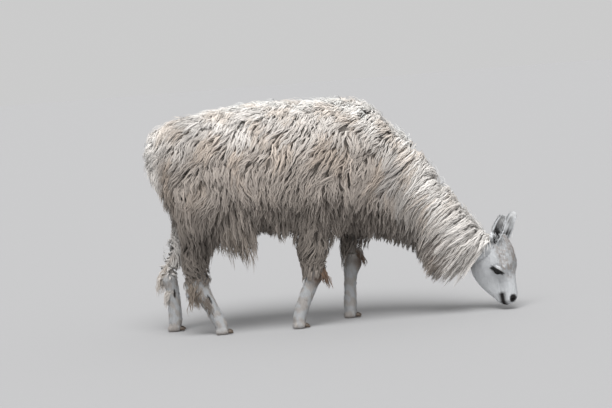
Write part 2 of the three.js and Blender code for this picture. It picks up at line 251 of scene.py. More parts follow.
def past_poll(points):
    """How far places are beyond the back of the skull, along the neck's end: the face starts there."""
    return (points - POLL) @ NECK_WAY


def coat_depth(points):
    """How deep the hide lies under the tips of the coat."""
    x, _, z = points.T
    shank = smooth_step(0.46, 0.24, z) * smooth_step(0.30, 0.20, x)
    deep = BARREL_DEPTH + (SHANK_DEPTH - BARREL_DEPTH) * shank
    on_head = smooth_step(-0.055, 0.03, past_poll(points))
    return deep + (SHORT_DEPTH - deep) * on_head


# The barrel, neck, tail and upper legs, joined, worn back evenly and then let out to their own depth.
CORE_DEPTH = 0.027
CORE_CELL = 0.012
OUTER_CELL = 0.007
FACE_TUCK = 0.012  # the neck's end is drawn in by this under the face
flesh = [name for name in frame["nodes"] if not name.startswith(("eye", "nail"))]
outer_points, outer_faces = remeshed(solids(tuple(flesh)), OUTER_CELL)
points, faces = worn_back(new_mesh("body", outer_points, outer_faces), CORE_DEPTH, CORE_CELL)
points = relaxed(points, faces, 10)
under_face = FACE_TUCK * smooth_step(-0.01, 0.04, past_poll(points))
points += vertex_normals(points, faces) * (CORE_DEPTH - coat_depth(points) - under_face)[:, None]
points = relaxed(points, faces, 4)
core = new_mesh("core", points, faces)

# The shanks and feet, in finer cells.
KNEE_CUT = ((0, 0, 0.36), (0, 0, -1))
SHANK_WEAR = 0.014
SHANK_CELL = 0.004
THIGH_TUCK = 0.032  # the shanks' tops are drawn in by this inside the thighs
legs = solids(("cannon", "foot", "thigh", "forearm"), KNEE_CUT)
points, faces = worn_back(new_mesh("legs", *remeshed(legs, SHANK_CELL)), SHANK_WEAR, SHANK_CELL)
points = relaxed(points, faces, 3)
normals = vertex_normals(points, faces)
sole = smooth_step(0.02, 0.0, points[:, 2] - SHANK_WEAR) * smooth_step(0.2, -0.6, normals[:, 2])
let_out = SHANK_WEAR - SHORT_DEPTH * (1 - sole) - THIGH_TUCK * smooth_step(0.26, 0.34, points[:, 2])
points += normals * let_out[:, None]
points[:, 2] = np.maximum(points[:, 2], 0.0)
shanks = new_mesh("shanks", points, faces)

# The head and ears, in the finest cells.
HEAD_CELL = 0.003
EAR_DEPTH = 0.0012  # of the hair on the thin ears
WEAR_STEPS = 6
points, faces = remeshed(solids(("head", "ear", "eye")), HEAD_CELL)
points = relaxed(points, faces, 4)
along, across, _ = to_head(points).T
in_ear = smooth_step(0.010, -0.030, along) * smooth_step(0.036, 0.052, np.abs(across))
depth_left = coat_depth(points) * (1 - in_ear) + EAR_DEPTH * in_ear
for _ in range(WEAR_STEPS):
    points -= vertex_normals(points, faces) * (depth_left / WEAR_STEPS)[:, None]
    points = relaxed(points, faces, 3, smooth_step(0.006, 0.02, depth_left))

# Finer faces round the eyes, then the lids: the skin follows a ball a little larger than the eye, open in
# a drooping slit whose edges turn in behind the eye's surface.
LID_THICKNESS = 0.0022
LID_RIM = 0.0012  # the lid's edge stands out by this
LID_FOLD = 0.0022  # the fold above the upper lid, and the groove under the fold
LID_GROOVE = 0.0016
LID_TURN = 0.006  # how far the lids' edges turn in behind the eye's surface
FINER_REACH = (0.032, 0.028)  # how far round an eye the faces are halved, and halved again
EYE_SLANT = math.radians(45)
SLIT_HALF = 1.3  # half the slit's length, as an angle at the eye's centre
SLIT_DROP = 0.82  # how far the lower lid hangs under the line of the corners
SLIT_RISE = 0.02  # how far the upper lid's edge lies over that line
head_mesh = bmesh.new()
head_mesh.from_mesh(new_mesh("head", points, faces))
eye_places = [Vector(from_head(EYE * (1, side, 1))) for side in (-1, 1)]
for reach in FINER_REACH:
    near = [
        e
        for e in head_mesh.edges
        if any((v.co - place).length < reach for v in e.verts for place in eye_places)
    ]
    bmesh.ops.subdivide_edges(head_mesh, edges=near, cuts=1, use_grid_fill=True)
bmesh.ops.triangulate(head_mesh, faces=head_mesh.faces)
finer = bpy.data.meshes.new("head")
head_mesh.to_mesh(finer)
head_mesh.free()
points, faces = corners_and_faces(finer)
local = to_head(points)


def eye_frame(side):
    """The middle of an eye, the way it looks, the way its slit runs to the nose, and the way across it."""
    outward = unit(np.array((0.02, side * 0.985, 0.17)))
    slit = np.array((math.cos(EYE_SLANT), 0.0, math.sin(EYE_SLANT)))
    slit = unit(slit - outward * (slit @ outward))
    return EYE * (1, side, 1), outward, slit, np.cross(outward, slit) * -side


def eye_angles(local, side):
    """Of places round an eye: the distance from its middle, the angle off the way it looks, and the
    angles along and above the slit."""
    middle, outward, slit, above = eye_frame(side)
    ray = local - middle
    distance = np.linalg.norm(ray, axis=1)
    ahead = ray @ outward
    off_axis = np.arccos(np.clip(ahead / distance, -1, 1))
    return distance, off_axis, np.arctan2(ray @ slit, ahead), np.arctan2(ray @ above, ahead)


def slit_gap(along_slit, above_slit):
    """Above zero on the lids, below zero in the opening, in radians from its edge."""
    bow = 1 - (along_slit / SLIT_HALF) ** 2
    return np.maximum(above_slit - SLIT_RISE * bow, -above_slit - SLIT_DROP * bow)


for side in (-1, 1):
    distance, off_axis, along_slit, above_slit = eye_angles(local, side)
    gap = slit_gap(along_slit, above_slit)
    fold = LID_FOLD * hump(above_slit - 0.62, 0.16) - LID_GROOVE * hump(above_slit - 0.36, 0.09)
    lid = EYE_RADIUS + LID_THICKNESS + LID_RIM * hump(gap, 0.10) + fold * (off_axis < 1.4)
    opened = EYE_RADIUS - LID_TURN
    radius = opened + (lid - opened) * smooth_step(-0.10, 0.02, gap)
    hold = smooth_step(1.35, 0.95, off_axis) * (distance < 0.040)
    pulled = EYE * (1, side, 1) + (local - EYE * (1, side, 1)) * (radius / distance)[:, None]
    local += (pulled - local) * hold[:, None]

# The mouth's line and the cleft of the upper lip, pressed in, the lip's swelling over the line, and the
# crease that runs down below each eye.
MOUTH_PRESS = 0.0042
CLEFT_PRESS = 0.0028
LIP_SWELLING = 0.0020
CREASE_PRESS = 0.0020
CREASE_START = 0.20  # along the head
CREASE_LENGTH = 0.085
normals = vertex_normals(from_head(local), faces) @ head_axes
along, across, up = local.T
line = mouth_line(along)
lips = smooth_step(MOUTH_CORNER - 0.006, MOUTH_CORNER + 0.006, along)
in_cleft = smooth_step(line, line + 0.004, up) * smooth_step(0.318, 0.33, along)
crease_way = (along - CREASE_START) / CREASE_LENGTH
off_crease = np.abs(up - (0.004 - 0.020 * crease_way))
in_crease = smooth_step(0.0, 0.2, crease_way) * smooth_step(1.1, 0.8, crease_way)
press = MOUTH_PRESS * hump(up - line, 0.0030) * lips
press += CLEFT_PRESS * hump(across, 0.0026) * in_cleft
press -= LIP_SWELLING * hump(up - line - 0.007, 0.005) * lips
press += CREASE_PRESS * hump(off_crease, 0.005) * in_crease
local -= normals * press[:, None]
head = new_mesh("head", from_head(local), faces)

# The three are joined into one skin. Its flat layout, on which every tuft later finds its root's place,
# is made while the skin is whole.
hide = new_piece("hide", head)
for part in (core, shanks):
    other = new_piece("joining", part)
    join = hide.modifiers.new("join", "BOOLEAN")
    join.operation = "UNION"
    join.solver = "MANIFOLD"
    join.object = other
skin_points, skin_faces = baked(hide)
for joined in [piece for piece in bpy.data.objects if piece.name.startswith("joining")]:
    bpy.data.objects.remove(joined)
hide = new_piece("hide", new_mesh("hide", skin_points, skin_faces))
LAYOUT = "OFBake"
hide.data.uv_layers.new(name=LAYOUT)
bpy.context.view_layer.objects.active = hide
hide.select_set(True)
bpy.ops.object.mode_set(mode="EDIT")
bpy.ops.mesh.select_all(action="SELECT")
bpy.ops.uv.smart_project(angle_limit=1.15, island_margin=0.002)
bpy.ops.object.mode_set(mode="OBJECT")
layout = np.empty(2 * len(hide.data.loops), np.float32)
hide.data.uv_layers[LAYOUT].uv.foreach_get("vector", layout)
layout = layout.reshape(-1, 3, 2)


class Surface:
    """A closed mesh that answers where its nearest point is, which way it faces there and in which face."""

    def __init__(self, points, faces):
        self.tree = BVHTree.FromPolygons(points.tolist(), faces.tolist())
        self.normals = vertex_normals(points, faces)
        self.faces = faces

    def nearest(self, places):
        found = [self.tree.find_nearest(place) for place in places.tolist()]
        feet = np.array([foot[:] for foot, _, _, _ in found])
        within = np.array([face for _, _, face, _ in found])
        return feet, unit(self.normals[self.faces[within]].mean(1)), within

    def gap(self, places):
        return np.linalg.norm(places - self.nearest(places)[0], axis=1)


skin = Surface(skin_points, skin_faces)
outside = Surface(outer_points, outer_faces)

# The markings, with the painted light and shade, which hide, wool and short hair share.
CREAM = np.array((0.95, 0.915, 0.875))
BEIGE = np.array((0.50, 0.445, 0.40))
GREY = np.array((0.235, 0.205, 0.18))
TAN = np.array((0.60, 0.45, 0.32))
WHITE = np.array((0.64, 0.655, 0.67))
SPECKLE = np.array((0.36, 0.28, 0.23))
KNEE_BROWN = np.array((0.15, 0.10, 0.07))
BLACK = np.array((0.016, 0.014, 0.014))
NECK_EDGE = (0.22, 0.40)  # x where the shoulder turns into the neck
TOP_X = (-0.90, -0.80, -0.60, 0.0, 0.22, 0.36, 0.76)  # the line of the back and the neck's crest
TOP_Z = (1.04, 1.11, 1.13, 1.135, 1.08, 0.93, 0.40)


def patches(places, size, seed):
    """Soft random patches of about this size, from 0 to 1."""
    draw = np.random.default_rng(seed)
    total = 0
    for _ in range(6):
        total = total + np.sin(places @ draw.normal(0, 2.2 / size, 3) + draw.uniform(0, 2 * math.pi))
    return smooth_step(-2.2, 2.2, total)


def blend(tint, other, share):
    return tint + (other - tint) * np.clip(share, 0, 1)[:, None]


def wool_tint(places):
    """The fleece's colour by place: cream along the top and greyer towards the belly, partly dirt and
    partly painted shade, darker on the middle of the neck, painted shade on the rump and in the crease
    beside the tail, whiter on the tail, painted light on the back of the left hind leg, and a few stains of
    tan."""
    x, y, z = places.T
    down = np.interp(x, TOP_X, TOP_Z) - z + 0.05 * (patches(places, 0.12, 3) - 0.5)
    neck = smooth_step(*NECK_EDGE, x)
    # Greyer towards the belly: partly dirt, partly painted shade where the body turns under.
    tint = blend(CREAM + 0 * places, BEIGE, smooth_step(0.03, 0.26 + 0.04 * neck, down) * (1 - 0.15 * neck))
    tint = blend(tint, GREY, smooth_step(0.26, 0.58, down) * (0.86 - 0.15 * neck))
    front = neck * smooth_step(0.56, 0.66, x)
    tint = blend(tint, 0.95 * CREAM, 0.75 * front * smooth_step(0.34, 0.22, down))
    # Darker on the middle of the neck.
    neck_darkening = 0.34 * hump(x - 0.42, 0.15) * smooth_step(0.05, 0.15, down)
    # Painted shade on the rump.
    painted_rump_shade = 0.24 * hump(x + 0.65, 0.10) * smooth_step(0.03, 0.10, down)
    tint = tint * (1 - neck_darkening)[:, None]
    tint = tint * (1 - painted_rump_shade)[:, None]
    tail = smooth_step(-0.785, -0.83, x) * smooth_step(0.5, 0.7, z)
    # Painted shade in the crease beside the tail.
    crease = hump(x + 0.765, 0.022) * smooth_step(0.98, 0.88, z) * smooth_step(0.5, 0.62, z)
    tint = blend(tint, GREY, 0.5 * crease)
    # Painted light on the back of the left hind leg, made whiter; the tail is whiter as well.
    painted_light_left_leg = smooth_step(0.02, 0.06, y) * smooth_step(-0.5, -0.65, x) * smooth_step(0.68, 0.55, z)
    tint = blend(tint, 0.92 * CREAM, np.maximum(0.8 * tail, 0.75 * painted_light_left_leg))
    stained = smooth_step(0.62, 0.95, patches(places, 0.07, 5)) * smooth_step(0.5, 0.1, down) * (1 - front)
    return blend(tint, TAN, 0.30 * stained)


JAW_BACK = 0.67  # the jaw's hind edge


def is_head(places):
    return (places[:, 0] > JAW_BACK).astype(float)


# Each ear is a long leaf rolled into a trough, seated at the poll. In its own frame Z runs to the tip and
# the trough opens to +Y.
EAR_BASE = np.array((0.042, 0.063, 0.030))
EAR_LENGTH = 0.164
EAR_HALF_WIDTH = 0.030
EAR_BEND = 0.024  # how far the tip is bent inwards
EAR_WALL = (0.007, 0.003)  # thickness at the root and at the tip
EAR_CURL = (1.45, 0.70)  # half angle of the roll, at the root and at the tip
EAR_TURNS = (19, 47, 24)  # splay, lean back and twist, degrees


def ear_marks(local):
    """Of places on the head: 1 on the ears, 1 in their hollows, 1 on their rims, and how far to the tip."""
    on, hollow, rim, tip = np.zeros((4, len(local)))
    for side in (-1, 1):
        splay, lean, twist = (math.radians(turn) for turn in EAR_TURNS)
        turned = Matrix.Rotation(-side * splay, 3, "X") @ Matrix.Rotation(-lean, 3, "Y")
        turned = np.array(turned @ Matrix.Rotation(-side * twist, 3, "Z"))
        x, y, z = ((local - EAR_BASE * (1, side, 1)) @ turned).T
        t = np.clip(z / EAR_LENGTH, 0.0, 1.0)
        y = side * y + EAR_BEND * t**2.4
        half = EAR_HALF_WIDTH * np.sqrt(np.sin(math.pi * (0.16 + 0.81 * t**1.25))) + 0.001
        curl = EAR_CURL[0] + (EAR_CURL[1] - EAR_CURL[0]) * t
        round_to = half / np.sin(curl)
        off_axis = np.hypot(x, y)
        turn = np.abs(np.arctan2(x, -y)) / curl
        here = smooth_step(-0.006, 0.012, z) * (off_axis < round_to + 0.008) * (turn < 1.35)
        middle = round_to - 0.5 * (EAR_WALL[0] + (EAR_WALL[1] - EAR_WALL[0]) * t)
        within = smooth_step(middle, middle - 0.0015, off_axis)
        on = np.maximum(on, here)
        hollow = np.maximum(hollow, here * within * smooth_step(0.86, 0.60, turn))
        rim = np.maximum(rim, here * smooth_step(0.66, 0.90, turn))
        tip = np.where(here > 0.5, t, tip)
    return on, hollow, rim, tip


FACE_WAY = unit(np.array((0.70, -0.10, -0.69)))  # the way across the edge between fleece and face


def face_share(places):
    """1 on the face and ears, 0 on the neck and body."""
    off_neck = smooth_step(0.002, 0.018, (places - POLL) @ FACE_WAY)
    return np.maximum(off_neck, ear_marks(to_head(places))[0]) * is_head(places)


NOSE_REACH = np.array((0.029, 0.020, 0.020))  # of the dark skin round a nostril
KNEES = np.array(((-0.098, -0.148, 0.247), (0.130, 0.08, 0.284)))  # brown patches on the front knees
KNEE_REACH = 0.034
GLANDS = np.array(((-0.638, -0.140, 0.184), (-0.825, 0.085, 0.196)))  # dark slits on the hind shanks
GLAND_REACH = (0.007, 0.024)  # across and along


def leg_spots(places):
    """1 in the brown patches on the front knees, and 1 in the dark slits of the hind shanks."""
    knee, slit = np.zeros((2, len(places)))
    for place in KNEES:
        off = np.linalg.norm((places - place) * (1, 0.6, 1), axis=1)
        knee = np.maximum(knee, hump(off, KNEE_REACH))
    for x, y, z in GLANDS:
        off = np.stack([places[:, 0] - x + 0.4 * (places[:, 2] - z) * (y < 0), places[:, 2] - z], 1)
        off = np.linalg.norm(off / GLAND_REACH, axis=1)
        slit = np.maximum(slit, smooth_step(1.2, 0.8, off) * (np.abs(places[:, 1] - y) < 0.035))
    return knee, slit


def hide_tint(places):
    """The colour of the hide and of the short hair on it, by place."""
    local = to_head(places)
    along, across, up = local.T
    height = places[:, 2]
    leg = smooth_step(0.44, 0.36, height) * (1 - is_head(places))
    stain = patches(places, 0.03, 8)
    # Under the fleece the hide is the wool's tint darkened: painted shade in the gaps between locks, less
    # of it along the top and on the neck.
    less_gap_shade = np.maximum(smooth_step(0.85, 1.0, height), smooth_step(*NECK_EDGE, places[:, 0]))[:, None]
    # On the legs the white hair is tinted grey: painted shade.
    tint = blend(wool_tint(places) * (0.74 + 0.16 * less_gap_shade), WHITE * 0.74, leg)
    # Legs: patches of dirt, and darker up towards the body, painted shade under the belly.
    dirt_and_shade = np.maximum(0.6 * smooth_step(0.40, 0.75, stain), smooth_step(0.22, 0.40, height))
    tint = blend(tint, BEIGE * 0.8, leg * dirt_and_shade)
    tint = blend(tint, BEIGE * 0.7, 0.5 * leg * smooth_step(0.07, 0.0, height))
    knee, slit = leg_spots(places)
    tint = blend(blend(tint, KNEE_BROWN, leg * knee), BLACK * 1.5, leg * slit)
    face = face_share(places)
    on_ear, hollow, rim, tip = ear_marks(local)
    # The face is painted lighter low on the head: painted light where it faces away from the lamp.
    tint = blend(tint, WHITE * (1.04 + 0.15 * smooth_step(0.02, -0.05, up))[:, None], face)
    brow = smooth_step(0.02, 0.06, up) * smooth_step(0.26, 0.16, along) * face * (1 - on_ear)
    tint = blend(tint, SPECKLE, brow * (0.04 + 0.56 * smooth_step(0.46, 0.64, patches(places, 0.012, 9))))
    tint = blend(tint, WHITE * (0.9 + 0.3 * rim)[:, None], on_ear)
    # Painted shade in the ears' hollows, black at the base and greyer towards the tip.
    deep = np.stack([0.012 + 0.40 * smooth_step(0.38, 0.95, tip)] * 3, 1)
    tint = blend(tint, deep, hollow * smooth_step(1.05, 0.85, tip))
    lips = hump(up - mouth_line(along), 0.018)
    lips = lips * smooth_step(MOUTH_CORNER - 0.006, MOUTH_CORNER + 0.010, along)
    tint = blend(tint, BLACK, 1.2 * lips * face)
    nose = np.stack([along, np.abs(across), up], 1) - NOSTRIL - (0.003, 0, 0)
    tint = blend(tint, BLACK, smooth_step(1.15, 0.85, np.linalg.norm(nose / NOSE_REACH, axis=1)) * face)
    for side in (-1, 1):
        distance, off_axis, along_slit, above_slit = eye_angles(local, side)
        edge = smooth_step(0.34, 0.22, slit_gap(along_slit, above_slit))
        tint = blend(tint, BLACK, edge * smooth_step(0.044, 0.038, distance) * (off_axis < 1.5))
    return tint


class Wire:
    """A node's output that takes part in sums, each of which adds a Math node to its finish."""

    def __init__(self, finish, socket):
        self.finish, self.socket = finish, socket

    def sum(self, operation, first, second):
        return self.finish.node("ShaderNodeMath", {"operation": operation}, {0: first, 1: second})

    def __add__(self, other):
        return self.sum("ADD", self, other)

    def __mul__(self, other):
        return self.sum("MULTIPLY", self, other)

    __radd__, __rmul__ = __add__, __mul__


class Finish:
    """A material in the making: its nodes, and the shader that they feed."""

    def __init__(self, name, **constants):
        self.material = bpy.data.materials.new(name)
        self.material.use_nodes = True
        self.tree = self.material.node_tree
        self.shader = self.tree.nodes["Principled BSDF"]
        for title, value in constants.items():
            self.shader.inputs[title.replace("_", " ")].default_value = value

    def node(self, kind, settings, inputs, output=0):
        made = self.tree.nodes.new(kind)
        for title, value in settings.items():
            setattr(made, title, value)
        for title, value in inputs.items():
            if isinstance(value, Wire):
                self.tree.links.new(value.socket, made.inputs[title])
            else:
                made.inputs[title].default_value = value
        return Wire(self, made.outputs[output])

    def feed(self, title, wire):
        self.tree.links.new(wire.socket, self.shader.inputs[title])

    def tint(self):
        """The colour that the mesh itself carries, point by point."""
        return self.node("ShaderNodeAttribute", {"attribute_name": "tint"}, {}, "Color")

    def noise(self, scale, detail, stretch=(1, 1, 1)):
        place = self.node("ShaderNodeTexCoord", {}, {}, "Object")
        place = self.node("ShaderNodeVectorMath", {"operation": "MULTIPLY"}, {0: place, 1: stretch})
        return self.node("ShaderNodeTexNoise", {}, {"Vector": place, "Scale": scale, "Detail": detail})

    def shaded(self, colour, level):
        """The colour darkened or lightened by a number wire."""
        grey = self.node("ShaderNodeCombineColor", {}, {0: level, 1: level, 2: level})
        mix = {"data_type": "RGBA", "blend_type": "MULTIPLY", "clamp_result": False}
        return self.node("ShaderNodeMix", mix, {0: 1.0, 6: colour, 7: grey}, 2)


def painted(mesh, tints):
    layer = mesh.color_attributes.new("tint", "FLOAT_COLOR", "POINT")
    colours = np.ones((len(tints), 4), np.float32)
    colours[:, :3] = tints
    layer.data.foreach_set("color", colours.ravel())


short_coat = Finish("short coat", Roughness=0.75, Specular_IOR_Level=0.25)
nap = short_coat.noise(420, 3, (1, 1, 0.35))
short_coat.feed("Base Color", short_coat.shaded(short_coat.tint(), 0.82 + 0.36 * nap))
bumps = short_coat.node("ShaderNodeBump", {}, {"Strength": 0.5, "Distance": 0.0015, "Height": nap})
short_coat.feed("Normal", bumps)
painted(hide.data, hide_tint(skin_points))
hide.data.materials.append(short_coat.material)
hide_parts(*flesh)
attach(hide, "root")


# ---- Fleece ----
# The wool hangs in locks: a clump of roots whose hairs draw together to a wavy point. Each lock is a few
# thin closed strands. They start on the hide, rise through the coat and lie along it, each over the next,
# and hang free where the body turns under.
rng = np.random.default_rng(11)
LOCK_SPACING = 0.0187
TUFT_SPACING = 0.036  # neighbouring locks this far round gather into one bigger tuft
GUIDE_POINTS = 10
ROOT_DEPTH = 0.004  # of the locks' roots under the hide
LEAST_COAT = 0.004  # how thick the fleece lies, at its thinnest and its thickest
MOST_COAT = 0.075
LONG_LOCK = 0.105  # locks longer than this have more segments
LOCK_WAVE = 0.0052  # how far the strands swing from side to side, and over what length
WAVE_LENGTH = 0.055
STRAY = 0.008  # how far a lock may stand proud of the solids' surface
HANGS_FROM = 0.03  # locks shorter than this never hang free
SOFTNESS = 0.5  # how far a strand is shaded like the coat round it, not like a cord
HANGING_SOFTNESS = 0.15  # the same of a lock that hangs free, as a share of it
STATIONS = {  # where along a strand its rings lie, closer near its tip
    3: (0, 0.4, 0.7, 1),
    6: (0, 0.30, 0.44, 0.58, 0.72, 0.86, 1),
}
ANY_PHASE = (0, 6.28)  # a turn
PATCH = 0.003  # across each lock's place on the layout
PIECE_FACES = 195000

# The comb: where, in side view (x, z), and which way the wool lies there (dx, dz).
COMB = np.array(
    (
        (-0.62, 1.11, -1.0, -0.35),  # back
        (-0.25, 1.13, -1.0, -0.25),
        (0.10, 1.13, -1.0, -0.20),
        (-0.78, 1.04, -0.9, -0.8),  # rump
        (-0.60, 0.88, -0.75, -1.0),  # flank
        (-0.25, 0.90, -0.70, -1.0),
        (0.05, 0.85, -0.60, -1.0),
        (-0.25, 0.65, -0.28, -1.0),
        (0.05, 0.60, -0.25, -1.0),
        (0.25, 0.80, -0.60, -1.0),  # shoulder
        (0.22, 0.55, -0.25, -1.0),
        (-0.66, 0.68, -0.40, -1.0),  # thigh
        (-0.68, 0.45, -0.10, -1.0),
        (-0.47, 0.72, 0.10, -1.0),  # fold before the thigh
        (-0.45, 0.50, 0.12, -1.0),
        (-0.86, 0.98, -0.70, -1.0),  # tail
        (-0.90, 0.78, 0.10, -1.0),
        (0.35, 0.98, -1.0, -0.20),  # crest of the neck
        (0.52, 0.75, -1.0, -0.10),
        (0.70, 0.48, -1.0, 0.0),
        (0.36, 0.76, -0.9, -0.75),  # side of the neck
        (0.48, 0.60, -1.0, -0.45),
        (0.62, 0.43, -1.0, -0.30),
        (0.42, 0.50, -0.70, -1.0),  # throat
        (0.58, 0.33, -0.9, -0.75),
        (0.68, 0.28, -0.9, -0.9),
    )
)


def comb(places, normals):
    """Which way the wool lies at each place on the hide, with slow strayings from side to side."""
    apart = (places[:, None, 0] - COMB[:, 0]) ** 2 + (places[:, None, 2] - COMB[:, 1]) ** 2
    weight = 1 / (apart + 0.0008) ** 2
    lie = weight @ COMB[:, 2:] / weight.sum(1, keepdims=True)
    on_neck = smooth_step(*NECK_EDGE, places[:, 0])
    parting = np.clip(places[:, 1] / 0.09, -1, 1) * (0.9 - 0.7 * on_neck) * np.maximum(normals[:, 2], 0)
    way = np.stack([lie[:, 0], parting, lie[:, 1]], 1)
    way = unit(way - normals * np.sum(way * normals, 1, keepdims=True))
    x, y, z = places.T
    slow = 0.24 * np.sin(17 * x + 9 * z + 2.3 * np.sin(13 * z))
    quick = 0.18 * np.sin(31 * z - 23 * x + 2 * y + 1.7)
    stray = ((slow + quick) * (1 - 0.6 * on_neck))[:, None]
    return way * np.cos(stray) + np.cross(normals, way) * np.sin(stray)


def everywhere(places):
    return np.ones(len(places), bool)


def scattered(spacing, wanted, region=everywhere):
    """Places on the skin about this far apart, kept where wanted (a chance for each place) says. region
    tells which of the skin's faces are tried at all."""
    corners = skin_points[skin_faces]
    corners = corners[region(corners.mean(1))]
    across = np.cross(corners[:, 1] - corners[:, 0], corners[:, 2] - corners[:, 0])
    area = np.linalg.norm(across, axis=1) / 2
    count = int(4 * area.sum() / spacing**2)
    picked = rng.choice(len(corners), count, p=area / area.sum())
    a, b = rng.random((2, count, 1))
    a, b = np.where(a + b > 1, 1 - a, a), np.where(a + b > 1, 1 - b, b)
    corners = corners[picked]
    places = corners[:, 0] + a * (corners[:, 1] - corners[:, 0]) + b * (corners[:, 2] - corners[:, 0])
    _, first = np.unique(np.floor(places / spacing).astype(int), axis=0, return_index=True)
    places = places[np.sort(first)]
    places = places[rng.random(len(places)) < wanted(places)]
    return places[np.argsort(places[:, 0])]


MID_BELLY = -0.3  # what lies behind this is a hind leg, and what lies before it a foreleg
NECK_START = 0.4
FORE_SHANK_TOP = (0.375, 0.265)  # where the wool ends on the left and the right leg
HIND_SHANK_TOP = (0.28, 0.27)


def woolly(places):
    """How thickly the wool grows: full on the body, none on the face, ears and shanks."""
    x, y, z = places.T
    off_face = 1 - smooth_step(0.25, 0.75, face_share(places))
    fore_top = np.where(y > 0, *FORE_SHANK_TOP)
    hind_top = np.where(y > 0, *HIND_SHANK_TOP)
    shank_top = np.where(x > MID_BELLY, fore_top, hind_top) - (x > NECK_START)
    hidden = smooth_step(0.0, -0.8, skin.nearest(places)[1][:, 2]) * smooth_step(0.12, 0.05, np.abs(y))
    return off_face * smooth_step(shank_top - 0.01, shank_top + 0.03, z) * (1 - 0.6 * hidden)


def march(roots, lengths, heights, leans, combed, stations, sunk, stray=STRAY):
    """Guides of locks from roots on the hide: their points, and the hide's normals beside them, which are
    short where a lock hangs free. leans turn each lock a little off the way that combed gives, and stray
    is how far they may stand proud."""
    foot, normals, _ = skin.nearest(roots)
    at = roots - normals * sunk
    guide, beside = [at], [normals]
    free_stray = stray + 0.022 * rng.random(len(roots)) + 0.060 * smooth_step(0.40, 0.55, roots[:, 0])
    swept = 0.45 + 0.75 * smooth_step(0.45, 0.60, roots[:, :1])
    hanging = np.zeros(len(roots), bool)
    stopped = np.zeros(len(roots), bool)
    step = (lengths / (stations - 1))[:, None]
    way = combed(foot, normals)
    for k in range(1, stations):
        s = k / (stations - 1)
        turned = combed(foot, normals)
        turned = turned * np.cos(leans)[:, None] + np.cross(normals, turned) * np.sin(leans)[:, None]
        way = np.where(hanging[:, None], way, turned)
        foot_next, normals_next, _ = skin.nearest(foot + way * step)
        same_side = np.sum(normals * normals_next, 1, keepdims=True) > 0.1
        foot = np.where(same_side, foot_next, foot + way * step)
        normals_next = np.where(same_side, normals_next, normals)
        height = heights * (1 - (1 - min(1, s / 0.6)) ** 2)
        along_hide = foot + normals_next * height[:, None]
        falling = at + unit((0, 0, -1.0) + 0.15 * normals + swept * way * (1, 1, 0)) * step
        hanging |= (normals_next[:, 2] < -0.25) & (lengths > HANGS_FROM)
        after = np.where(hanging[:, None], falling, along_hide)
        shell, facing, _ = outside.nearest(after)
        proud = np.sum((after - shell) * facing, 1)
        stopped |= hanging & (proud > free_stray)
        after -= facing * np.where(hanging, 0, np.maximum(proud - stray, 0))[:, None]
        at = np.where(stopped[:, None], at, after)
        normals = np.where(hanging[:, None], normals, normals_next)
        guide.append(at)
        level = HANGING_SOFTNESS * unit(normals * (1, 1, 0.2))
        beside.append(np.where(hanging[:, None], level, normals))
    return np.stack(guide, 1), np.stack(beside, 1)


def placed(guides, beside, stations):
    """The guides and their normals at these shares of their lengths, and the lengths."""
    reach = np.cumsum(np.linalg.norm(np.diff(guides, axis=1), axis=2), axis=1)
    reach = np.concatenate([np.zeros((len(guides), 1)), reach], 1)
    wanted = stations * reach[:, -1:]
    index = np.clip((reach[:, None] <= wanted[:, :, None]).sum(2) - 1, 0, guides.shape[1] - 2)
    row = np.arange(len(guides))[:, None]
    span = np.maximum(reach[row, index + 1] - reach[row, index], 1e-9)
    t = np.clip((wanted - reach[row, index]) / span, 0, 1)[:, :, None]
    between = [line[row, index] * (1 - t) + line[row, index + 1] * t for line in (guides, beside)]
    return *between, reach[:, -1]


